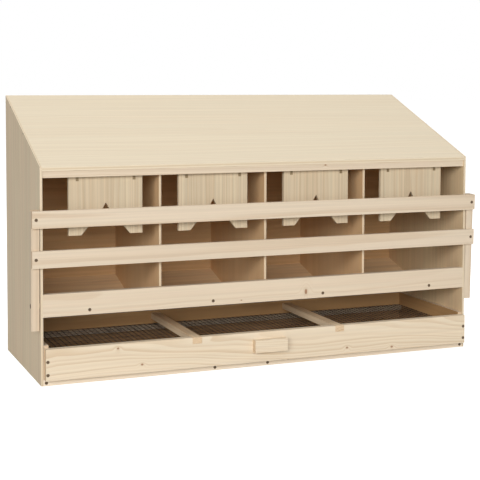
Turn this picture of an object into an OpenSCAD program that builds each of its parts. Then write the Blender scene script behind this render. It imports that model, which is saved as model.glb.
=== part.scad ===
// Nesting box for laying hens: four nests side by side under one sloping roof, a two-slat perch frame
// that folds up across the front, four swinging door flaps and an egg drawer with a mesh floor.
// Frame: +X along the row of nests, -Y is the front, +Z up. Origin: centre of the footprint at the floor.

/* [Body] */
// Width over the two side panels
body_w = 1022; // [900:1:1200]
// Depth of the side panels
body_d = 364; // [340:1:420]
// Height of the side panels at the back
back_h = 600; // [560:1:640]
// Height of the side panels at the front
front_h = 457; // [440:1:480]
// Thickness of the plywood sides, back and partitions
ply_t = 5; // [4:0.5:6]
// Thickness of the roof panel
roof_t = 8; // [6:0.5:10]
// Thickness of the fascia and the lip board
trim_t = 16; // [12:1:20]
// Height of the fascia under the front edge of the roof
fascia_h = 15.6; // [12:0.2:20]
// How far the fascia stands back under that edge
fascia_in = 2.5; // [0:0.5:5]
// Height of the underside of the lip board
lip_z = 144; // [136:0.5:150]
// Height of the lip board itself
lip_h = 47.5; // [40:0.5:56]
// Height of the base rails and the drawer runners
rail_h = 12.7; // [11:0.1:12.7]
// Thickness of the base rails and width of the runners
rail_t = 12; // [10:1:16]

/* [Nests] */
// Number of nests
nests = 4; // [3:1:4]
// Distance from one partition to the next
pitch = 246.5; // [230:0.5:250]
// Thickness of the sloping nest floors
floor_t = 6; // [5:0.5:6]
// Height of the front floor where it meets the lip board
floor_front_z = 168; // [164:1:172]
// Height of the rear floor where it meets the back panel
floor_rear_z = 165; // [162:1:170]
// Where the egg slot begins, behind the front plane
slot_front = 169; // [160:1:175]
// Where the egg slot ends, behind the front plane
slot_rear = 229; // [220:1:235]
// Height of the front floor at the egg slot
slot_front_z = 131; // [128:1:134]
// Height of the rear floor at the egg slot
slot_rear_z = 127.7; // [126:0.1:130]

/* [Doors] */
// Width of a door flap
door_w = 161; // [150:0.5:170]
// Thickness of a door flap
door_t = 9; // [7:0.5:10]
// Height of the bottom edge of the flaps
door_z = 309.5; // [300:0.5:320]
// Height of the top edge of the flaps
door_top = 436.5; // [434.5:0.5:436.5]
// Width of the notch in the bottom edge
notch_w = 107; // [90:1:110]
// Height of the notch
notch_h = 68; // [50:1:72]
// Width of the steeper tip of the notch
notch_tip_w = 18; // [12:1:30]
// Height of that tip
notch_tip_h = 16; // [10:1:24]
// Height of the steel rod that the flaps hang on
rod_z = 441.5; // [441.5:0.5:442.5]
// Radius of the rod
rod_r = 2; // [1.5:0.1:2]

/* [Perch frame] */
// Length of the slats
slat_l = 1060; // [1050:1:1060]
// Height of a slat
slat_h = 36; // [32:1:38]
// Thickness of a slat
slat_t = 8; // [7:0.5:9]
// Height of the bottom edge of the upper slat
upper_z = 331.5; // [325:0.5:335]
// Height of the bottom edge of the lower slat
lower_z = 248.5; // [245:0.5:254]
// Width of an arm
arm_w = 17; // [15:0.5:17]
// Depth of an arm
arm_d = 18; // [16:1:20]
// Height of the lower end of the arms
arm_z = 116; // [112:1:124]
// Lean of the closed frame, resting on the front edges of the side panels
perch_lean = 2; // [2:0.1:2.5]
// Distance of the pivot behind the front plane
pivot_in = 11.5; // [11.5:0.1:12]
// Radius of the pivot screw
pivot_r = 2.5; // [2:0.1:2.5]

/* [Drawer] */
// Height of the bottom edge of the drawer
drawer_z = 13; // [13:0.1:14]
// Height of the top edge of the drawer front
drawer_front_top = 79.5; // [76:0.5:82]
// Height of the top edge of the drawer sides
drawer_side_top = 85; // [82:1:94]
// How far the drawer front stands in front of the side panels
drawer_reach = 15; // [12:1:20]
// Length of the drawer sides
drawer_side_l = 295; // [280:1:320]
// Thickness of the drawer front
drawer_front_t = 16; // [14:1:16]
// Thickness of the drawer sides
drawer_side_t = 10; // [8:1:12]
// Width of a divider
divider_w = 22; // [20:1:28]
// Thickness of a divider
divider_t = 14; // [10:1:16]
// Place of the left divider
divider_left_x = -172; // [-190:1:-160]
// Place of the right divider
divider_right_x = 172; // [160:1:190]
// Height of the mesh floor
mesh_z = 53; // [45:1:55]
// Thickness of the mesh
mesh_t = 2; // [1:0.5:3]
// Width of the handle block
handle_w = 78; // [60:1:90]
// Height of the handle block
handle_h = 28; // [24:1:32]
// Depth of the handle block
handle_d = 16; // [12:1:16]
// Height of the bottom of the handle block
handle_z = 36.5; // [30:0.5:42]
// Distance of the handle from the middle of the drawer
handle_x = -3; // [-6:1:6]

/* [Fasteners] */
// Radius of a screw head
head_r = 3.5; // [3:0.1:4.5]
// Height of the countersunk head
head_h = 2.6; // [2:0.1:3]
// Radius of a screw shank
shank_r = 1.8; // [1.5:0.1:2]
// Radius of a nail head
nail_head_r = 2.2; // [1.8:0.1:2.5]

/* [Hidden] */
$fn = 48;
reach = drawer_reach + handle_d;
front_y = reach - (body_d + reach) / 2;
half_w = body_w / 2;
inner = half_w - ply_t;
back_in = body_d - ply_t;
slope = atan((back_h - front_h) / body_d);
roof_drop = roof_t / cos(slope);
partition_xs = [for (i = [1 : nests - 1]) (i - nests / 2) * pitch];
// The flaps hang a little off the middle of their nests
door_slack = [3.5, 0, 3, 3];
door_xs = [for (i = [0 : nests - 1]) (i - (nests - 1) / 2) * pitch + door_slack[i]];
door_in = trim_t + 2;
tab_t = 1;
fit = 0.05;
rod_in = door_in - tab_t + rod_r + fit + 1.05;
loop_r = rod_r + fit + 1.05;
loop_w = 6;
loop_gap = 62;
tab_z = rod_z - 17;
tab_screw_z = rod_z - 13;
rod_seat = 3;
top_batten = 16;
pivot_z = lip_z + lip_h / 2;
washer_t = 2;
arm_x = half_w + washer_t;
drawer_half = inner - 2;
side_out = inner - 1;
side_start = drawer_front_t - drawer_reach;
drawer_back_t = 12;
ledger = 12;
divider_z = drawer_front_top - divider_t;
runner_xs = [-0.25 * half_w + 2, 0, 0.25 * half_w - 2];
lip_screw_xs = [-407, -130, 136, 414];
lip_screw_z = lip_z + 10;
perch_screw_x = half_w + washer_t + arm_w / 2;
drawer_screw_zs = [25.6, 53.2];
drawer_screw_x = side_out - drawer_side_t / 2;
nail_ys = [168, 308];

pine = [0.90, 0.82, 0.68];
plywood = [0.87, 0.79, 0.66];
dark = [0.16, 0.15, 0.14];
steel = [0.66, 0.66, 0.68];

// A straight board between two X, two Y (behind the front plane) and two Z values
module board(x, y, z) {
    translate([x[0], front_y + y[0], z[0]])
        cube([x[1] - x[0], y[1] - y[0], z[1] - z[0]]);
}

// A side view, as [distance behind the front plane, height] points, carried from one X to another
module side_profile(points, x) {
    translate([x[0], front_y, 0])
        rotate([90, 0, 90])
            linear_extrude(x[1] - x[0])
                polygon(points);
}

// Countersunk screw, its head flush at the origin and its shank along +Z
module screw_body(length) {
    cylinder(h = head_h, r1 = head_r, r2 = shank_r);
    cylinder(h = length, r = shank_r);
}

module screw(length) {
    slot_w = 0.9;
    slot_depth = 1.3;
    difference() {
        screw_body(length);
        for (turn = [0, 90])
            rotate(turn)
                translate([-head_r * 0.6, -slot_w / 2, -1])
                    cube([head_r * 1.2, slot_w, 1 + slot_depth]);
    }
}

module screw_hole(length) {
    screw_body(length);
    translate([0, 0, -1])
        cylinder(h = 1, r = head_r);
}

// Nail with a flat head set flush at the origin, its shank along +Z
module nail(length) {
    cylinder(h = 1, r = nail_head_r);
    cylinder(h = length, r = 1);
}

// Puts a fastener at X, Y behind the front plane and Z, pointing to the back
module to_back(x, y, z) {
    translate([x, front_y + y, z])
        rotate([-90, 0, 0])
            children();
}

// The same, pointing to the front
module to_front(x, y, z) {
    translate([x, front_y + y, z])
        rotate([90, 0, 0])
            children();
}

// Points a fastener inwards through the left (side -1) or right (side 1) panel
module inwards(side, x, y, z) {
    translate([side * x, front_y + y, z])
        rotate([0, -90 * side, 0])
            children();
}

function roof_top(y) = front_h + y * tan(slope);
function roof_under(y) = roof_top(y) - roof_drop;

// ---- fixed body ----

module side_panel(side) {
    color(plywood)
        difference() {
            side_profile([[0, 0], [body_d, 0], [body_d, back_h], [0, front_h]],
                side < 0 ? [-half_w, -inner] : [inner, half_w]);
            at_roof_nails(side) nail(20);
            at_pivot(side) cylinder(h = 60, r = pivot_r);
            translate([side * inner, front_y + rod_in, rod_z])
                rotate([0, 90 * side, 0])
                    translate([0, 0, -1])
                        cylinder(h = rod_seat + 1, r = rod_r);
        }
}

module back_panel() {
    color(plywood)
        board([-inner, inner], [back_in, body_d], [0, roof_under(back_in)]);
}

module roof_outline() {
    side_profile([[0, front_h], [body_d, back_h], [body_d, roof_under(body_d)],
        [0, roof_under(0)]], [-inner, inner]);
}

module roof_panel() {
    color(plywood)
        difference() {
            roof_outline();
            roof_nail_shanks();
        }
}

module front_fascia() {
    top = roof_under(fascia_in);
    color(pine)
        board([-inner, inner], [fascia_in, trim_t], [top - fascia_h, top]);
}

module lip_board() {
    color(pine)
        difference() {
            board([-inner, inner], [0, trim_t], [lip_z, lip_z + lip_h]);
            lip_screw_holes();
            for (side = [-1, 1])
                at_pivot(side) cylinder(h = 60, r = pivot_r);
        }
}

module front_base_rail() {
    color(pine)
        difference() {
            board([-inner, inner], [0, rail_t], [0, rail_h]);
            base_rail_holes();
        }
}

module rear_base_rail() {
    color(pine)
        board([-inner, inner], [back_in - rail_t, back_in], [0, rail_h]);
}

// A runner from the front rail to the rear rail, on which the drawer slides
module runner(x) {
    color(pine)
        difference() {
            board([x - rail_t / 2, x + rail_t / 2], [rail_t, back_in - rail_t], [0, rail_h]);
            base_rail_holes();
        }
}

module roof_back_batten() {
    top = roof_under(back_in - top_batten);
    color(pine)
        board([-inner, inner], [back_in - top_batten, back_in], [top - top_batten, top]);
}

function front_floor_z(y) = floor_front_z
    + (slot_front_z - floor_front_z) * (y - trim_t) / (slot_front - trim_t);
function rear_floor_z(y) = slot_rear_z
    + (floor_rear_z - slot_rear_z) * (y - slot_rear) / (back_in - slot_rear);

module front_nest_floor() {
    color(plywood)
        side_profile([[trim_t, floor_front_z], [slot_front, slot_front_z],
            [slot_front, slot_front_z - floor_t], [trim_t, floor_front_z - floor_t]], [-inner, inner]);
}

module rear_nest_floor() {
    color(plywood)
        side_profile([[slot_rear, slot_rear_z], [back_in, floor_rear_z],
            [back_in, floor_rear_z - floor_t], [slot_rear, slot_rear_z - floor_t]], [-inner, inner]);
}

module front_floor_batten() {
    depth = 16;
    color(pine)
        difference() {
            board([-inner, inner], [trim_t, trim_t + depth],
                [lip_z, front_floor_z(trim_t + depth) - floor_t]);
            lip_screw_holes();
        }
}

module rear_floor_batten() {
    depth = 16;
    top = rear_floor_z(back_in - depth) - floor_t;
    color(pine)
        board([-inner, inner], [back_in - depth, back_in], [top - depth, top]);
}

// A partition follows both nest floors, spans the egg slot and fits round the batten under the roof
module partition(x) {
    batten_in = back_in - top_batten;
    color(plywood)
        difference() {
            side_profile([[trim_t, floor_front_z], [slot_front, slot_front_z], [slot_rear, slot_rear_z],
                [back_in, floor_rear_z], [back_in, roof_under(batten_in) - top_batten],
                [batten_in, roof_under(batten_in) - top_batten], [batten_in, roof_under(batten_in)],
                [trim_t, roof_under(trim_t)]], [x - ply_t / 2, x + ply_t / 2]);
            rod_line();
        }
}

module rod_line() {
    translate([-inner - rod_seat, front_y + rod_in, rod_z])
        rotate([0, 90, 0])
            cylinder(h = 2 * (inner + rod_seat), r = rod_r);
}

module door_rod() {
    color(steel) rod_line();
}

// ---- fasteners of the body ----

module at_pivot(side) {
    inwards(side, half_w + washer_t + arm_w, pivot_in, pivot_z) children();
}

module pivot_screws() {
    color(dark)
        for (side = [-1, 1])
            at_pivot(side) pivot_screw();
}

module pivot_screw() {
    slot_w = 1;
    difference() {
        union() {
            cylinder(h = 3, r1 = 5, r2 = pivot_r);
            cylinder(h = 55, r = pivot_r);
        }
        for (turn = [0, 90])
            rotate(turn)
                translate([-3, -slot_w / 2, -1])
                    cube([6, slot_w, 2.5]);
    }
}

module pivot_washers() {
    color(steel)
        for (side = [-1, 1])
            inwards(side, half_w + washer_t, pivot_in, pivot_z)
                difference() {
                    cylinder(h = washer_t, r = 8);
                    translate([0, 0, -1])
                        cylinder(h = washer_t + 2, r = pivot_r);
                }
}

module lip_screw_holes() {
    for (x = lip_screw_xs)
        to_back(x, 0, lip_screw_z) screw_hole(28);
}

module lip_screws() {
    color(dark)
        for (x = lip_screw_xs)
            to_back(x, 0, lip_screw_z) screw(28);
}

function base_screw_xs() = [-inner + rail_t / 2, runner_xs[0], runner_xs[1], inner - rail_t / 2];

module base_rail_holes() {
    for (x = base_screw_xs())
        to_back(x, 0, rail_h / 2) screw_hole(30);
}

module base_rail_screws() {
    color(dark)
        for (x = base_screw_xs())
            to_back(x, 0, rail_h / 2) screw(30);
}

module at_roof_nails(side) {
    for (y = nail_ys)
        inwards(side, half_w, y, roof_top(y) - roof_drop / 2) children();
}

module roof_nail_shanks() {
    for (side = [-1, 1])
        at_roof_nails(side) nail(20);
}

module roof_nails() {
    color(dark) roof_nail_shanks();
}

// ---- door flaps ----

// Outline of the notch in a flap, which flares towards the bottom edge
module notch() {
    half = notch_w / 2;
    tip = notch_tip_w / 2;
    shoulder = notch_h - notch_tip_h;
    polygon([[-half - 1, -1], [-half, 0], [-tip, shoulder], [0, notch_h], [tip, shoulder], [half, 0],
        [half + 1, -1]]);
}

module door(x) {
    color(pine)
        difference() {
            board([x - door_w / 2, x + door_w / 2], [door_in, door_in + door_t], [door_z, door_top]);
            translate([x, front_y + door_in + door_t + 1, door_z])
                rotate([90, 0, 0])
                    linear_extrude(door_t + 2)
                        notch();
            at_door_screws(x) cylinder(h = 9, r = 1);
        }
}

module at_door_loops(x) {
    for (side = [-1, 1])
        translate([x + side * loop_gap, 0, 0]) children();
}

module at_door_screws(x) {
    at_door_loops(x)
        to_back(0, door_in - tab_t, tab_screw_z) children();
}

// Two bent straps that wrap the rod and run down the front of a flap
module door_loops(x) {
    color(steel)
        difference() {
            at_door_loops(x) {
                translate([-loop_w / 2, front_y + rod_in, rod_z])
                    rotate([0, 90, 0])
                        cylinder(h = loop_w, r = loop_r);
                board([-loop_w / 2, loop_w / 2], [door_in - tab_t, door_in], [tab_z, rod_z]);
            }
            translate([x - loop_gap - loop_w, front_y + rod_in, rod_z])
                rotate([0, 90, 0])
                    cylinder(h = 2 * (loop_gap + loop_w), r = rod_r + fit);
            at_door_screws(x)
                cylinder(h = 3, r = 1);
        }
}

module door_screws(x) {
    head = 1.1;
    color(dark)
        at_door_screws(x) {
            translate([0, 0, -head])
                cylinder(h = head, r = 1.9);
            cylinder(h = 8, r = 1);
        }
}

// ---- drawer ----

module at_drawer_screws() {
    for (side = [-1, 1], z = drawer_screw_zs)
        to_back(side * drawer_screw_x, -drawer_reach, z) children();
}

module at_handle_screws() {
    for (side = [-1, 1])
        to_front(handle_x + side * handle_w / 4, side_start, handle_z + handle_h / 2) children();
}

module divider_bar(x) {
    board([x - divider_w / 2, x + divider_w / 2], [-drawer_reach, drawer_side_l + side_start - drawer_back_t],
        [divider_z, drawer_front_top]);
}

module drawer_front() {
    color(pine)
        difference() {
            board([-drawer_half, drawer_half], [-drawer_reach, side_start], [drawer_z, drawer_front_top]);
            at_drawer_screws() screw_hole(36);
            at_handle_screws() screw_hole(26);
            for (x = [divider_left_x, divider_right_x])
                board([x - divider_w / 2, x + divider_w / 2], [-drawer_reach - 1, side_start + 1],
                    [divider_z, drawer_front_top + 1]);
        }
}

module drawer_side(side) {
    color(pine)
        difference() {
            board(side < 0 ? [-side_out, drawer_side_t - side_out] : [side_out - drawer_side_t, side_out],
                [side_start, side_start + drawer_side_l], [drawer_z, drawer_side_top]);
            at_drawer_screws() screw_hole(36);
        }
}

module drawer_back() {
    between = side_out - drawer_side_t;
    color(pine)
        board([-between, between],
            [side_start + drawer_side_l - drawer_back_t, side_start + drawer_side_l],
            [drawer_z, drawer_side_top]);
}

module drawer_ledger(y) {
    between = side_out - drawer_side_t;
    color(pine)
        board([-between, between], [y, y + ledger], [mesh_z - ledger, mesh_z]);
}

module drawer_mesh() {
    between = side_out - drawer_side_t - 0.5;
    color(dark)
        board([-between, between],
            [side_start + 0.5, side_start + drawer_side_l - drawer_back_t - 0.5],
            [mesh_z, mesh_z + mesh_t]);
}

module drawer_handle() {
    color(pine)
        difference() {
            board([handle_x - handle_w / 2, handle_x + handle_w / 2],
                [-drawer_reach - handle_d, -drawer_reach], [handle_z, handle_z + handle_h]);
            at_handle_screws() screw_hole(26);
        }
}

module drawer_screws() {
    color(dark) at_drawer_screws() screw(36);
}

module handle_screws() {
    color(dark) at_handle_screws() screw(26);
}

// ---- perch frame ----

// Leans the frame forward about its pivot, as it rests when closed
module leaning() {
    translate([0, front_y + pivot_in, pivot_z])
        rotate([perch_lean, 0, 0])
            translate([0, -front_y - pivot_in, -pivot_z])
                children();
}

arm_front = pivot_in - arm_d / 2;
arm_top = upper_z + slat_h;

module at_perch_screws() {
    for (side = [-1, 1], z = [lower_z, upper_z])
        to_back(side * perch_screw_x, arm_front - slat_t, z + slat_h / 2) children();
}

module perch_slat(z) {
    color(pine)
        leaning()
            difference() {
                board([-slat_l / 2, slat_l / 2], [arm_front - slat_t, arm_front], [z, z + slat_h]);
                at_perch_screws() screw_hole(24);
            }
}

module perch_arm(side) {
    color(pine)
        leaning()
            difference() {
                board(side < 0 ? [-arm_x - arm_w, -arm_x] : [arm_x, arm_x + arm_w],
                    [arm_front, arm_front + arm_d], [arm_z, arm_top]);
                at_perch_screws() screw_hole(24);
                at_pivot(side) {
                    cylinder(h = 30, r = pivot_r + fit);
                    translate([0, 0, -1])
                        cylinder(h = 1, r = 5.2);
                    cylinder(h = 3.1, r1 = 5.2, r2 = pivot_r + fit);
                }
            }
}

module perch_screws() {
    color(dark)
        leaning()
            at_perch_screws() screw(24);
}

side_panel(-1);  // left_side_panel
side_panel(1);  // right_side_panel
back_panel();
roof_panel();
front_fascia();
lip_board();
front_base_rail();
rear_base_rail();
runner(-inner + rail_t / 2);  // left_runner
runner(inner - rail_t / 2);  // right_runner
runner(runner_xs[0]);  // middle_runner_1
runner(runner_xs[1]);  // middle_runner_2
runner(runner_xs[2]);  // middle_runner_3
roof_back_batten();
front_floor_batten();
rear_floor_batten();
front_nest_floor();
rear_nest_floor();
partition(partition_xs[0]);  // partition_1
partition(partition_xs[1]);  // partition_2
partition(partition_xs[2]);  // partition_3
door_rod();
pivot_screws();
pivot_washers();
lip_screws();
base_rail_screws();
roof_nails();
door(door_xs[0]);  // door_1
door(door_xs[1]);  // door_2
door(door_xs[2]);  // door_3
door(door_xs[3]);  // door_4
door_loops(door_xs[0]);  // door_loops_1
door_loops(door_xs[1]);  // door_loops_2
door_loops(door_xs[2]);  // door_loops_3
door_loops(door_xs[3]);  // door_loops_4
door_screws(door_xs[0]);  // door_screws_1
door_screws(door_xs[1]);  // door_screws_2
door_screws(door_xs[2]);  // door_screws_3
door_screws(door_xs[3]);  // door_screws_4
drawer_front();
drawer_side(-1);  // drawer_left_side
drawer_side(1);  // drawer_right_side
drawer_back();
color(pine) divider_bar(divider_left_x);  // drawer_divider_left
color(pine) divider_bar(divider_right_x);  // drawer_divider_right
drawer_ledger(side_start);  // drawer_front_ledger
drawer_ledger(side_start + drawer_side_l - drawer_back_t - ledger);  // drawer_back_ledger
drawer_mesh();
drawer_handle();
drawer_screws();
handle_screws();
perch_slat(upper_z);  // perch_slat_upper
perch_slat(lower_z);  // perch_slat_lower
perch_arm(-1);  // perch_arm_left
perch_arm(1);  // perch_arm_right
perch_screws();
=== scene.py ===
"""Looks of a wooden nesting box for hens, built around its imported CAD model."""

import math
import random

import bpy
from mathutils import Euler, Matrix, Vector


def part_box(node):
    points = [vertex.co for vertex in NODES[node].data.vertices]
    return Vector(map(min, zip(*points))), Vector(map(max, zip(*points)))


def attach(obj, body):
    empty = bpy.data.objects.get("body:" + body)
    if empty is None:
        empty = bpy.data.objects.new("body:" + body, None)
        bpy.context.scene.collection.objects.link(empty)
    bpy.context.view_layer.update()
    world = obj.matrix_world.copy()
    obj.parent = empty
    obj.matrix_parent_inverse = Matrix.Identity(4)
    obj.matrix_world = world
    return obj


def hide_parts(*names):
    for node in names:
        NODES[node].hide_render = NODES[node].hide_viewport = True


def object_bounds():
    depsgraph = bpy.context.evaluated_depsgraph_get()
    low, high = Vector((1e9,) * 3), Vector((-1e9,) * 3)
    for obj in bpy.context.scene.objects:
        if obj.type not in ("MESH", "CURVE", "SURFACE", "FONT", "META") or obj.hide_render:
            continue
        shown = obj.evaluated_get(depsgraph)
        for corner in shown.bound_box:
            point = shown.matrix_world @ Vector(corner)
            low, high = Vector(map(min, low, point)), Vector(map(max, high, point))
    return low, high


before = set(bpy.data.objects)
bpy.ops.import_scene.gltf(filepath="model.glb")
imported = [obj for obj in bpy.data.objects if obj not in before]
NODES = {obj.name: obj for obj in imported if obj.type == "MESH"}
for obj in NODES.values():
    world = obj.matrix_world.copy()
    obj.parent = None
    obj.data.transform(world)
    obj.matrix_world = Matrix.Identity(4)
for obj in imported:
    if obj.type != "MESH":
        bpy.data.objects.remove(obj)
CAD_LOW, CAD_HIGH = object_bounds()
MM = 0.001

# ---------------------------------------------------------------- camera and softboxes

CAMERA_PLACE = Vector((-1.0369, -2.5891, 0.6358))
CAMERA_TURN = 22.193     # degrees to the right of straight ahead
CAMERA_TILT = 3.248      # degrees below the horizon
CAMERA_ROLL = 0.161      # degrees
SENSOR_WIDTH = 36        # mm, like the lens
CAMERA_LENS = 89.33
CAMERA_SHIFT = (-0.0168, -0.1912)    # keeps the uprights nearly parallel, as the photograph does
CLIP_NEAR, CLIP_FAR = 0.05, 60

# A light stands turn to the left of the front and height above the floor, both in degrees, at a distance
# in metres from the middle of the box.
KEY_LIGHT = {"turn": 28.5, "height": 16, "distance": 9.0, "width": 9.6, "tall": 3.0, "power": 768,
             "tint": (1.0, 0.995, 0.985)}
TOP_LIGHT = {"turn": 0, "height": 88, "distance": 4.0, "width": 4.0, "tall": 4.0, "power": 108,
             "tint": (1.0, 1.0, 0.99)}


def aim(height, turn):
    """The rotation of what looks down by height and to the right by turn, both in degrees."""
    return Euler((math.radians(90 - height), 0, math.radians(-turn)), "XYZ").to_matrix()


def add_camera():
    data = bpy.data.cameras.new("camera")
    data.sensor_width = SENSOR_WIDTH
    data.lens = CAMERA_LENS
    data.shift_x, data.shift_y = CAMERA_SHIFT
    data.clip_start, data.clip_end = CLIP_NEAR, CLIP_FAR
    camera = bpy.data.objects.new("camera", data)
    roll = Euler((0, 0, math.radians(CAMERA_ROLL))).to_matrix()
    camera.matrix_world = (aim(CAMERA_TILT, CAMERA_TURN) @ roll).to_4x4()
    camera.location = CAMERA_PLACE
    bpy.context.scene.collection.objects.link(camera)
    bpy.context.scene.camera = camera


def add_softbox(name, turn, height, distance, width, tall, power, tint):
    """An area light aimed at the middle of the box."""
    data = bpy.data.lights.new(name, "AREA")
    data.shape = "RECTANGLE"
    data.size, data.size_y = width, tall
    data.energy = power
    data.color = tint
    light = bpy.data.objects.new(name, data)
    light.matrix_world = aim(height, turn).to_4x4()
    light.location = (CAD_LOW + CAD_HIGH) / 2 + aim(height, turn) @ Vector((0, 0, distance))
    light.visible_camera = False
    bpy.context.scene.collection.objects.link(light)


# ---------------------------------------------------------------- node trees

class Tree:
    """A material's node tree. Most methods add a node and return its output."""

    def __init__(self, owner):
        owner.use_nodes = True
        self.tree = owner.node_tree
        self.tree.nodes.clear()

    def add(self, kind, inputs=(), **settings):
        node = self.tree.nodes.new(kind)
        for name, value in settings.items():
            setattr(node, name, value)
        for socket, value in dict(inputs).items():
            self.put(node.inputs[socket], value)
        return node

    def put(self, socket, value):
        if isinstance(value, bpy.types.NodeSocket):
            self.tree.links.new(value, socket)
        elif value is not None:
            socket.default_value = value

    def math(self, operation, a, b=None, c=None):
        return self.add("ShaderNodeMath", {0: a, 1: b, 2: c}, operation=operation).outputs[0]

    def length(self, a, b):
        squares = self.math("ADD", self.math("POWER", a, 2.0), self.math("POWER", b, 2.0))
        return self.math("SQRT", squares)

    def vector(self, x, y, z):
        return self.add("ShaderNodeCombineXYZ", {0: x, 1: y, 2: z}).outputs[0]

    def stretched(self, parts, factors):
        """A vector of three parts, each multiplied by its own factor."""
        return self.vector(*(p if f == 1 else self.math("MULTIPLY", p, f) for p, f in zip(parts, factors)))

    def dot(self, vector, direction):
        node = self.add("ShaderNodeVectorMath", {0: vector, 1: tuple(direction)}, operation="DOT_PRODUCT")
        return node.outputs["Value"]

    def scaled(self, vector, factor):
        return self.add("ShaderNodeVectorMath", {0: vector, "Scale": factor}, operation="SCALE").outputs[0]

    def split(self, vector):
        return self.add("ShaderNodeSeparateXYZ", {0: vector}).outputs

    def coordinates(self):
        return self.add("ShaderNodeTexCoord").outputs

    def camera_ray(self):
        return self.add("ShaderNodeLightPath").outputs["Is Camera Ray"]

    def noise(self, vector, detail=2.0, roughness=0.5):
        inputs = {"Vector": vector, "Scale": 1.0, "Detail": detail, "Roughness": roughness}
        return self.add("ShaderNodeTexNoise", inputs).outputs[0]

    def chance(self, number):
        """A random value from 0 to 1 that is the same wherever number is the same."""
        return self.add("ShaderNodeTexWhiteNoise", {"W": number}, noise_dimensions="1D").outputs["Value"]

    def ramp(self, value, low, high, to_low=0.0, to_high=1.0):
        """A smooth step from to_low, where value is low, to to_high, where it is high."""
        inputs = {"Value": value, "From Min": low, "From Max": high, "To Min": to_low, "To Max": to_high}
        return self.add("ShaderNodeMapRange", inputs, interpolation_type="SMOOTHSTEP").outputs[0]

    def mix(self, amount, a, b, blend="MIX"):
        node = self.add("ShaderNodeMix", data_type="RGBA", blend_type=blend)
        self.put(node.inputs[0], amount)
        self.put(node.inputs[6], a)
        self.put(node.inputs[7], b)
        return node.outputs[2]

    def bump(self, height, strength, distance):
        inputs = {"Strength": strength, "Distance": distance, "Height": height}
        return self.add("ShaderNodeBump", inputs).outputs[0]

    def principled(self, base, rough, bump=None):
        """A shader that is also the material's surface."""
        inputs = {"Base Color": base, "Roughness": rough, "Normal": bump}
        shader = self.add("ShaderNodeBsdfPrincipled", inputs)
        self.add("ShaderNodeOutputMaterial", {0: shader.outputs[0]})
        return shader


def colour(red, green, blue):
    """An sRGB colour out of 255 as the linear colour that a shader takes."""
    def linear(v):
        v /= 255
        return v / 12.92 if v <= 0.04045 else ((v + 0.055) / 1.055) ** 2.4
    return linear(red), linear(green), linear(blue), 1.0


# ---------------------------------------------------------------- kinds of wood

class Wood:
    """What one kind of board looks like, by these values unless it has its own. Lengths are in metres."""

    ring = 0.0035            # width of a growth ring
    contrast = 0.35          # how dark the late wood at a ring's outer edge is
    tilt = 0.006             # how far the pith comes nearer or goes off in a metre of board
    wave = 0.004             # how far the rings waver
    bow = 0.02               # how far the pith wanders to the sides
    pith = 0.05              # how deep the pith lies
    streak = 0.05            # how much darker streaks are
    streak_size = 0.013      # about how wide they are
    blotch = 0.5             # how much of the warm colour shows
    ply = False              # plywood, whose edges show its layers
    glued = 0.0              # width of the staves that a board is glued from
    inside = None            # painted shade: a darker, warmer tint on the faces that look into the box or the drawer

    def __init__(self, light, warm, late, **changes):
        self.light, self.warm, self.late = light, warm, late
        for name, value in changes.items():
            setattr(self, name, value)


CREAM = colour(222, 206, 183)
CREAM_WARM = colour(221, 201, 177)
LATE = colour(198, 169, 136)
END_LIGHT, END_DARK = colour(212, 184, 150), colour(174, 138, 102)
PLY_EDGE, PLY_CORE = colour(228, 213, 188), colour(204, 180, 146)
KNOT_COLOUR = colour(150, 108, 78)

# The inside tints below are painted shade and bounce light on the faces that look into the box or the
# drawer.
SIDE_PLY = Wood(colour(224, 210, 183), colour(224, 203, 177), colour(200, 177, 147), ring=0.009,
                contrast=0.25, tilt=0.004, wave=0.006, bow=0.05, pith=0.12, streak=0.06, streak_size=0.009,
                blotch=0.9, ply=True, inside=(0.95, 0.87, 0.74, 1))
BACK_PLY = Wood(colour(225, 211, 184), colour(223, 202, 173), colour(200, 174, 140), ring=0.012,
                contrast=0.3, tilt=0.004, wave=0.01, bow=0.05, pith=0.12, streak=0.08, streak_size=0.009,
                ply=True, inside=(0.88, 0.66, 0.46, 1))
ROOF = Wood(colour(226, 213, 189), colour(225, 209, 184), colour(215, 194, 166), ring=0.007, contrast=0.32,
            tilt=0.003, bow=0.03, pith=0.12, streak=0.04, streak_size=0.005, ply=True)
TRIM = Wood(CREAM, CREAM_WARM, LATE, contrast=0.33, tilt=0.004, streak_size=0.005)
PERCH = Wood(CREAM, colour(220, 202, 181), LATE, ring=0.0062, contrast=0.6, tilt=0.004, wave=0.002,
             bow=0.010, streak=0.06, streak_size=0.004)
# The doors' wood is darker and greyer than the trim: partly its own tone, partly painted shade from the
# fascia and slats in front of the doors.
DOOR = Wood(colour(211, 196, 169), colour(209, 187, 158), colour(184, 154, 118), ring=0.0075, contrast=0.4,
            tilt=0.003, wave=0.003, bow=0.012, streak=0.10, streak_size=0.005, glued=0.030)
DRAWER_FRONT = Wood(colour(230, 215, 191), colour(229, 210, 184), colour(204, 175, 138), ring=0.0046,
                    contrast=0.55, tilt=0.03, wave=0.008, bow=0.05, streak=0.045, streak_size=0.006)
# Painted light: the partitions' and nest floors' plywood is warmer and more orange than the same plywood
# outside, for the bounce light inside the nests.
PARTITION_PLY = Wood(colour(224, 189, 146), colour(219, 180, 134), colour(200, 160, 116), ring=0.02,
                     contrast=0.15, tilt=0.004, wave=0.01, bow=0.05, pith=0.12, streak=0.035,
                     streak_size=0.02, blotch=0.8, ply=True)
FLOOR_PLY = Wood(colour(244, 213, 172), colour(240, 204, 160), colour(212, 172, 128), ring=0.012,
                 contrast=0.3, tilt=0.004, wave=0.01, bow=0.05, pith=0.12, streak=0.08, streak_size=0.009,
                 ply=True)
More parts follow.
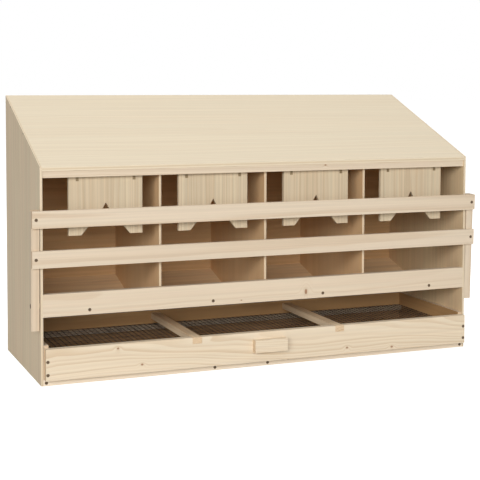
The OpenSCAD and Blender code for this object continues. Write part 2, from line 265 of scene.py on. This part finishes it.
# Painted light: the front base rail's pine is paler than the trim, to lift the shade that the drawer front
# casts on it.
RAIL_PINE_PAINTED_LIGHT = Wood(colour(238, 224, 203), colour(237, 219, 196), colour(214, 185, 152), contrast=0.33,
                 tilt=0.004, streak_size=0.005)
# Painted light: the drawer's dividers are paler and warmer than the trim, for light that reaches them
# under the lip board.
DIVIDER = Wood(colour(240, 217, 184), colour(237, 208, 170), colour(214, 176, 134), contrast=0.33,
               tilt=0.004, streak_size=0.005)
# The drawer's pine has a strong painted shade on its inner faces.
DRAWER_PINE = Wood(CREAM, CREAM_WARM, LATE, contrast=0.3, tilt=0.004, inside=(0.68, 0.48, 0.28, 1))

# Each board's wood, and the axis that its grain runs along
BOARDS = {
    "left_side_panel": ("Z", SIDE_PLY), "right_side_panel": ("Z", SIDE_PLY),
    "back_panel": ("X", BACK_PLY), "roof_panel": ("X", ROOF),
    "front_fascia": ("X", TRIM), "lip_board": ("X", TRIM),
    "front_base_rail": ("X", RAIL_PINE_PAINTED_LIGHT), "rear_base_rail": ("X", TRIM),
    "left_runner": ("Y", TRIM), "right_runner": ("Y", TRIM),
    "middle_runner_1": ("Y", TRIM), "middle_runner_2": ("Y", TRIM),
    "middle_runner_3": ("Y", TRIM), "roof_back_batten": ("X", TRIM),
    "front_floor_batten": ("X", TRIM), "rear_floor_batten": ("X", TRIM),
    "front_nest_floor": ("X", FLOOR_PLY), "rear_nest_floor": ("X", FLOOR_PLY),
    "partition_1": ("Z", PARTITION_PLY), "partition_2": ("Z", PARTITION_PLY),
    "partition_3": ("Z", PARTITION_PLY),
    "door_1": ("Z", DOOR), "door_2": ("Z", DOOR),
    "door_3": ("Z", DOOR), "door_4": ("Z", DOOR),
    "drawer_front": ("X", DRAWER_FRONT), "drawer_left_side": ("Y", DRAWER_PINE),
    "drawer_right_side": ("Y", DRAWER_PINE), "drawer_back": ("X", DRAWER_PINE),
    "drawer_divider_left": ("Y", DIVIDER), "drawer_divider_right": ("Y", DIVIDER),
    "drawer_front_ledger": ("X", DRAWER_PINE), "drawer_back_ledger": ("X", DRAWER_PINE),
    "drawer_handle": ("X", DRAWER_FRONT),
    "perch_slat_upper": ("X", PERCH), "perch_slat_lower": ("X", PERCH),
    "perch_arm_left": ("Z", PERCH), "perch_arm_right": ("Z", PERCH),
}
# Each knot's place along the grain and up, its radius, and how many times longer than tall it is
KNOTS = {
    "front_fascia": [(0.142, 0.4455, 0.0014, 2.0)],
    "lip_board": [(0.0937, 0.1600, 0.0060, 0.55), (-0.0637, 0.1510, 0.0012, 1.5)],
    "front_base_rail": [(0.050, 0.010, 0.0017, 1.2), (0.317, 0.011, 0.0017, 1.2)],
    "drawer_front": [(-0.350, 0.070, 0.0022, 1.2), (-0.297, 0.031, 0.0022, 1.3),
                     (0.191, 0.027, 0.0024, 1.1), (0.307, 0.0197, 0.0024, 1.3)],
}

# ---------------------------------------------------------------- wood material

# Waves in a metre along the grain, across it and through the board
PITH_WAVES = (1.4, 6, 1)
RING_WAVES = (7, 30, 30)
FIBRE_WAVES = (14, 520, 520)
BLOTCH_WAVES = (2.2, 9, 1)
STREAK_WAVES_ALONG, TINT_WAVES_ALONG = 1.6, 0.9
TINT_COARSER = 0.45            # waves of the tint across the grain, out of those of the streaks

STAVE_SHIFT = 3.0              # metres of grain from one glued stave to another, at most
STAVE_TONES = 0.06             # how much the staves differ in brightness
RING_UNEVEN = 2.2              # how unevenly wide the rings are
LATE_RISE, LATE_FALL = (0.25, 0.9), (1.0, 0.93)    # a ring darkens slowly outwards and ends sharply
LATE_LEAST = 0.25              # what the palest ring has of the darkest ring's late wood

# How far a knot pushes the rings and how far off it does so, then where its core and its halo have faded
# out and where they are full, all in the knot's radii
KNOT_SWELL, KNOT_REACH = 2.4, 3.2
KNOT_CORE, KNOT_HALO = (1.15, 0.75), (2.6, 0.9)
CORE_STRENGTH, HALO_STRENGTH = 0.85, 0.3

END_GRAIN_STRENGTH, PLY_EDGE_STRENGTH, PLY_CORE_STRENGTH = 0.6, 0.8, 0.7
PLY_CORE_BAND = (0.2, 0.15)    # from the middle of the thickness, as a part of it
WOOD_ROUGH, LATE_SMOOTHER = 0.72, 0.12
WOOD_SPECULAR = 0.3
BUMP_STRENGTH, BUMP_DEPTH = 0.35, 0.25 * MM
PLY_BEVEL, SOLID_BEVEL = 0.3 * MM, 0.6 * MM
BEVEL_ANGLE = 50               # degrees between two faces, from which the edge between them is eased
FIRST_SEED = 100


def unit(axis):
    return Vector([float(a == axis) for a in "XYZ"])


def board_axes(name, grain):
    """Directions along, across and through a board, its middle in those directions, and its thickness."""
    mesh = NODES[name].data
    along = unit(grain)
    flat = [p for p in mesh.polygons if abs(p.normal.dot(along)) < 0.3]
    through = max(flat, key=lambda p: p.area).normal.copy()
    if max(through, key=abs) < 0:
        through.negate()
    across = through.cross(along).normalized()
    axes = (across.cross(through), across, through)
    spans = [[v.co.dot(a) for v in mesh.vertices] for a in axes]
    middle = [(min(s) + max(s)) / 2 for s in spans]
    return axes, middle, max(spans[2]) - min(spans[2])


def knot_field(t, place, grain, knots):
    """How far the knots push the rings outwards, and how strongly their cores and their halos show."""
    reaches = [t.dot(place, unit(axis)) for axis in (grain, "Z")]
    push, core, halo = 0.0, 0.0, 0.0
    for along, up, radius, longer in knots:
        e = t.length(t.math("DIVIDE", t.math("SUBTRACT", reaches[0], along), radius * longer),
                     t.math("DIVIDE", t.math("SUBTRACT", reaches[1], up), radius))
        falloff = t.math("MULTIPLY", t.math("POWER", t.math("DIVIDE", e, KNOT_REACH), 2.0), -1.0)
        push = t.math("MULTIPLY_ADD", t.math("EXPONENT", falloff), radius * KNOT_SWELL, push)
        core = t.math("MAXIMUM", core, t.ramp(e, *KNOT_CORE))
        halo = t.math("MAXIMUM", halo, t.ramp(e, *KNOT_HALO))
    return push, core, halo


def late_wood(t, wood, rng, spot, shift, push):
    """How far each spot is into the dark late wood of its ring, from 0 to 1.

    The rings lie round a pith that wanders to the sides and comes and goes behind the board's face.
    """
    along, side, depth = spot
    wander = t.noise(t.stretched((along, side, shift), PITH_WAVES), 1.0)
    waver = t.noise(t.stretched(spot, RING_WAVES), 1.0)
    off_centre = rng.uniform(-0.6, 0.6) * wood.bow
    pith_side = t.math("ADD", t.math("MULTIPLY_ADD", wander, wood.bow * 2, off_centre), side)
    lean = t.math("MULTIPLY", along, wood.tilt * rng.choice((-1, 1)))
    lean = t.math("PINGPONG", t.math("ADD", lean, 10 + rng.uniform(0, wood.pith)), wood.pith * 1.2)
    pith_depth = t.math("ADD", t.math("ADD", depth, wood.pith * 0.25), lean)
    radius = t.math("MULTIPLY_ADD", waver, wood.wave, t.length(pith_side, pith_depth))
    rings = t.math("DIVIDE", t.math("ADD", radius, push), wood.ring)
    uneven = t.noise(t.stretched((rings, 0.0, 7.0), (0.35, 1, 1)), 0.0)
    rings = t.math("MULTIPLY_ADD", uneven, RING_UNEVEN, rings)
    part = t.math("FRACT", rings)
    late = t.math("MULTIPLY", t.ramp(part, *LATE_RISE), t.ramp(part, *LATE_FALL))
    own = t.chance(t.math("FLOOR", rings))
    return t.math("MULTIPLY", late, t.math("MULTIPLY_ADD", own, 1 - LATE_LEAST, LATE_LEAST))


def facing(t, normal, axis, low, high):
    """A step from 0 to 1 where the part of normal that lies along axis goes from low to high."""
    return t.ramp(t.math("ABSOLUTE", t.dot(normal, axis)), low, high)


def board_material(name, wood, grain, seed, knots=()):
    """Sawn or peeled wood for CAD node name, its grain along the axis that grain names."""
    material = bpy.data.materials.new(name)
    t = Tree(material)
    rng = random.Random(seed)
    axes, middle, thickness = board_axes(name, grain)
    coordinates = t.coordinates()
    place, normal = coordinates["Object"], coordinates["Normal"]
    along, side, depth = (t.math("SUBTRACT", t.dot(place, a), m) for a, m in zip(axes, middle))
    along = t.math("ADD", along, rng.uniform(2, 40))
    shift, stave_tone = 0.0, 0.5
    if wood.glued:
        stave = t.math("DIVIDE", t.math("ADD", side, rng.uniform(1, 2)), wood.glued)
        stave_tone = t.chance(t.math("FLOOR", stave))
        shift = t.math("MULTIPLY", stave_tone, STAVE_SHIFT)
        along = t.math("ADD", along, shift)
    spot = (along, side, depth)
    push, knot_core, knot_halo = knot_field(t, place, grain, knots)
    late = late_wood(t, wood, rng, spot, shift, push)

    fine = 1 / wood.streak_size
    fibre = t.noise(t.stretched(spot, FIBRE_WAVES), 3.0, 0.6)
    streak = t.noise(t.stretched(spot, (STREAK_WAVES_ALONG, fine, fine)), 3.0, 0.55)
    tint = t.noise(t.stretched(spot, (TINT_WAVES_ALONG, fine * TINT_COARSER, fine * TINT_COARSER)))
    blotch = t.noise(t.stretched((along, side, 3.0), BLOTCH_WAVES))

    tone = t.math("ADD", t.ramp(blotch, 0.28, 0.72, 0.0, 0.5), t.ramp(tint, 0.35, 0.65, 0.0, 0.5))
    base = t.mix(t.math("MULTIPLY", tone, wood.blotch), wood.light, wood.warm)
    base = t.mix(t.math("MULTIPLY", late, wood.contrast), base, wood.late)
    if knots:
        base = t.mix(t.math("MULTIPLY", knot_halo, HALO_STRENGTH), base, wood.late)
        base = t.mix(t.math("MULTIPLY", knot_core, CORE_STRENGTH), base, KNOT_COLOUR)
    if wood.ply:
        core = t.ramp(t.math("ABSOLUTE", t.math("DIVIDE", depth, thickness)), *PLY_CORE_BAND)
        layers = t.mix(t.math("MULTIPLY", core, PLY_CORE_STRENGTH), PLY_EDGE, PLY_CORE)
        edges = facing(t, normal, axes[2], 0.8, 0.5)
        base = t.mix(t.math("MULTIPLY", edges, PLY_EDGE_STRENGTH), base, layers)
    else:
        ends = facing(t, normal, axes[0], 0.55, 0.8)
        end_grain = t.mix(late, END_LIGHT, END_DARK)
        base = t.mix(t.math("MULTIPLY", ends, END_GRAIN_STRENGTH), base, end_grain)
    # Painted shade: faces that look into the box or the drawer are tinted darker and warmer, for the shade
    # and bounce light inside.
    if wood.inside:
        inward = axes[2] * -math.copysign(1, middle[2])
        base = t.mix(t.ramp(t.dot(normal, inward), 0.5, 0.8), base, wood.inside, "MULTIPLY")

    dim = t.math("ADD", t.ramp(streak, 0.3, 0.7, 1 - wood.streak, 1 + wood.streak * 0.5),
                 t.math("MULTIPLY", t.math("SUBTRACT", fibre, 0.5), wood.streak))
    if wood.glued:
        stave_dim = t.math("MULTIPLY_ADD", stave_tone, STAVE_TONES, 1 - STAVE_TONES / 2)
        dim = t.math("MULTIPLY", dim, stave_dim)
    base = t.mix(1.0, base, t.vector(dim, dim, dim), "MULTIPLY")

    height = t.math("ADD", t.math("MULTIPLY", fibre, 0.6), t.math("MULTIPLY", late, 0.5))
    rough = t.math("MULTIPLY_ADD", late, -LATE_SMOOTHER, WOOD_ROUGH)
    shader = t.principled(base, rough, t.bump(height, BUMP_STRENGTH, BUMP_DEPTH))
    shader.inputs["Specular IOR Level"].default_value = WOOD_SPECULAR
    return material


def soften_edges(node, width):
    """Planed boards have slightly eased edges."""
    obj = NODES[node]
    weld = obj.modifiers.new("weld", "WELD")
    weld.merge_threshold = 0.001 * MM
    flat = obj.modifiers.new("flat", "DECIMATE")
    flat.decimate_type = "DISSOLVE"
    flat.angle_limit = math.radians(1)
    bevel = obj.modifiers.new("bevel", "BEVEL")
    bevel.width = width
    bevel.segments = 2
    bevel.limit_method = "ANGLE"
    bevel.angle_limit = math.radians(BEVEL_ANGLE)
    normals = obj.modifiers.new("normals", "WEIGHTED_NORMAL")
    normals.keep_sharp = True


def dress(node, material):
    materials = NODES[node].data.materials
    materials.clear()
    materials.append(material)


def dress_boards():
    for number, (node, (grain, wood)) in enumerate(BOARDS.items()):
        dress(node, board_material(node, wood, grain, FIRST_SEED + number, KNOTS.get(node, ())))
        soften_edges(node, PLY_BEVEL if wood.ply else SOLID_BEVEL)


# ---------------------------------------------------------------- metal

def metal_material(name, tint, metallic, roughness, spots):
    """Plated or blackened steel, with worn spots of another colour."""
    material = bpy.data.materials.new(name)
    t = Tree(material)
    place = t.coordinates()["Object"]
    fine = t.noise(t.scaled(place, 900.0), 3.0)
    worn = t.ramp(t.noise(t.scaled(place, 160.0)), 0.35, 0.75)
    base = t.mix(t.math("MULTIPLY", worn, 0.6), tint, spots)
    rough = t.math("MULTIPLY_ADD", fine, 0.25, roughness - 0.1)
    shader = t.principled(base, rough, t.bump(fine, 0.2, 0.1 * MM))
    shader.inputs["Metallic"].default_value = metallic
    return material


def dress_metal():
    dark_steel = metal_material("dark_steel", colour(112, 92, 70), 0.15, 0.5, colour(84, 68, 52))
    worn_steel = metal_material("worn_steel", colour(150, 132, 104), 0.15, 0.5, colour(118, 100, 76))
    zinc_steel = metal_material("zinc_steel", colour(160, 140, 108), 0.5, 0.45, colour(132, 112, 84))
    for node in NODES:
        if node in BOARDS or node == "drawer_mesh":
            continue
        if node in ("door_rod", "pivot_washers") or node.startswith("door_loops"):
            dress(node, zinc_steel)
        elif node.startswith("door_screws"):
            dress(node, worn_steel)
        else:
            dress(node, dark_steel)


def wire_material(name, dark, pale):
    """Dark coated wire with paler streaks along it: painted highlights."""
    material = bpy.data.materials.new(name)
    t = Tree(material)
    place = t.coordinates()["Object"]
    fine = t.noise(t.scaled(place, 1400.0))
    painted_highlight_streak = t.noise(t.stretched(t.split(place), (9, 110, 60)), 3.0)
    base = t.mix(t.ramp(painted_highlight_streak, 0.36, 0.64), dark, pale)
    rough = t.math("MULTIPLY_ADD", fine, 0.2, 0.45)
    t.principled(base, rough, t.bump(fine, 0.25, 0.1 * MM))
    return material


# ---------------------------------------------------------------- the drawer's mesh floor

MESH_PITCH = 12.5 * MM
MESH_EDGE = 4 * MM       # from the mesh's edge to its first wire
WIRE_RADIUS = 0.65 * MM
WIRE_SIDES = 6


def add_wire(verts, faces, points):
    """A tube round a chain of points that runs along X or Y."""
    first = len(verts)
    along_x = abs(points[-1][0] - points[0][0]) > abs(points[-1][1] - points[0][1])
    for x, y, z in points:
        for k in range(WIRE_SIDES):
            a = 2 * math.pi * (k + 0.5) / WIRE_SIDES
            side, up = WIRE_RADIUS * math.cos(a), WIRE_RADIUS * math.sin(a)
            verts.append((x, y + side, z + up) if along_x else (x + side, y, z + up))
    last = len(verts) - WIRE_SIDES
    tube = [range(first, first + WIRE_SIDES)[::-1]]
    for ring in range(first, last, WIRE_SIDES):
        for k in range(WIRE_SIDES):
            a, b = ring + k, ring + (k + 1) % WIRE_SIDES
            tube.append((a, b, b + WIRE_SIDES, a + WIRE_SIDES))
    tube.append(range(last, last + WIRE_SIDES))
    faces.extend(tuple(face)[::-1] if along_x else tuple(face) for face in tube)


def wire_places(low, high):
    """Where the wires lie between low and high: an even row, about MESH_PITCH apart."""
    room = high - low - 2 * MESH_EDGE
    gaps = round(room / MESH_PITCH)
    return [low + MESH_EDGE + room * i / gaps for i in range(gaps + 1)]


def add_drawer_mesh():
    """Woven wire: each wire goes over and under the ones that it crosses."""
    low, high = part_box("drawer_mesh")
    middle = (low.z + high.z) / 2
    rise = (high.z - low.z) / 2 - WIRE_RADIUS
    xs, ys = wire_places(low.x, high.x), wire_places(low.y, high.y)
    verts, faces = [], []
    for j, y in enumerate(ys):
        points = [(x, y, middle + rise * (1 if (i + j) % 2 else -1)) for i, x in enumerate(xs)]
        add_wire(verts, faces, [(low.x, y, middle), *points, (high.x, y, middle)])
    faces_across = len(faces)
    for i, x in enumerate(xs):
        points = [(x, y, middle - rise * (1 if (i + j) % 2 else -1)) for j, y in enumerate(ys)]
        add_wire(verts, faces, [(x, low.y, middle), *points, (x, high.y, middle)])
    mesh = bpy.data.meshes.new("drawer_wire_mesh")
    mesh.from_pydata(verts, [], faces)
    mesh.validate()
    for number, face in enumerate(mesh.polygons):
        face.material_index = int(number >= faces_across)
    # The wires across the drawer get a paler streak colour than those along it: painted highlights where
    # light catches them.
    mesh.materials.append(wire_material("wire_across", colour(36, 28, 22), colour(108, 87, 68)))
    mesh.materials.append(wire_material("wire_along", colour(32, 25, 21), colour(60, 48, 39)))
    obj = bpy.data.objects.new("drawer_wire_mesh", mesh)
    bpy.context.scene.collection.objects.link(obj)
    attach(obj, "drawer")
    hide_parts("drawer_mesh")


# ---------------------------------------------------------------- stage

FLOOR_REACH = 30
FLOOR_BELOW = 0.2 * MM               # keeps the floor clear of the box's lower edges
LIT_TONE = (0.6, 0.58, 0.55, 1)      # what the box sees of the floor, and the floor under the box
SEEN_TONE = (0.5, 0.5, 0.5, 1)       # what the camera sees, which also gives off light
SPECKLE_TONE = (0.6, 0.6, 0.6, 1)
GLOW_NEAR, GLOW_FAR = 0.87, 1.0      # the light that it gives off beside the box and further out
WORLD_TINT, WORLD_STRENGTH = (1, 0.99, 0.97, 1), 0.1
WHITE = (1, 1, 1, 1)


def floor_material(low, high):
    """A plain pale floor. Between the corners low and high, under the box, it gives off no light."""
    material = bpy.data.materials.new("pale_floor")
    t = Tree(material)
    place = t.split(t.coordinates()["Object"])
    middle, half = (low + high) / 2, (high - low) / 2
    beyond = [t.math("SUBTRACT", t.math("ABSOLUTE", t.math("SUBTRACT", place[i], middle[i])), half[i])
              for i in range(2)]
    away = t.math("MAXIMUM", *beyond)
    shown = t.math("MULTIPLY", t.ramp(away, -0.02, 0.0), t.camera_ray())
    speckle = t.noise(t.stretched((place[0], place[1], 0.0), (40, 40, 1)), 3.0)
    tone = t.mix(shown, LIT_TONE, SEEN_TONE)
    tone = t.mix(t.math("MULTIPLY", speckle, 0.02), tone, SPECKLE_TONE)
    shader = t.principled(tone, 0.9)
    shader.inputs["Specular IOR Level"].default_value = 0.1
    shader.inputs["Emission Color"].default_value = WHITE
    glow = t.math("MULTIPLY", shown, t.ramp(away, 0.02, 0.3, GLOW_NEAR, GLOW_FAR))
    t.put(shader.inputs["Emission Strength"], glow)
    return material


def add_floor():
    size = FLOOR_REACH
    mesh = bpy.data.meshes.new("floor")
    corners = [(-size, -size, 0), (size, -size, 0), (size, size, 0), (-size, size, 0)]
    mesh.from_pydata(corners, [], [(0, 1, 2, 3)])
    mesh.materials.append(floor_material(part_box("left_side_panel")[0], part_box("right_side_panel")[1]))
    floor = bpy.data.objects.new("floor", mesh)
    floor.location.z = -FLOOR_BELOW
    bpy.context.scene.collection.objects.link(floor)


def add_world():
    """A dim studio that the camera sees as plain white."""
    world = bpy.data.worlds.new("studio")
    bpy.context.scene.world = world
    t = Tree(world)
    glow = t.add("ShaderNodeBackground", {"Color": WORLD_TINT, "Strength": WORLD_STRENGTH}).outputs[0]
    backdrop = t.add("ShaderNodeBackground", {"Color": WHITE, "Strength": 1.0}).outputs[0]
    both = t.add("ShaderNodeMixShader", {0: t.camera_ray(), 1: glow, 2: backdrop}).outputs[0]
    t.add("ShaderNodeOutputWorld", {0: both})


bpy.context.scene.view_settings.view_transform = "Standard"
add_camera()
add_world()
add_floor()
add_softbox("key_light", **KEY_LIGHT)
add_softbox("top_light", **TOP_LIGHT)
dress_boards()
dress_metal()
add_drawer_mesh()
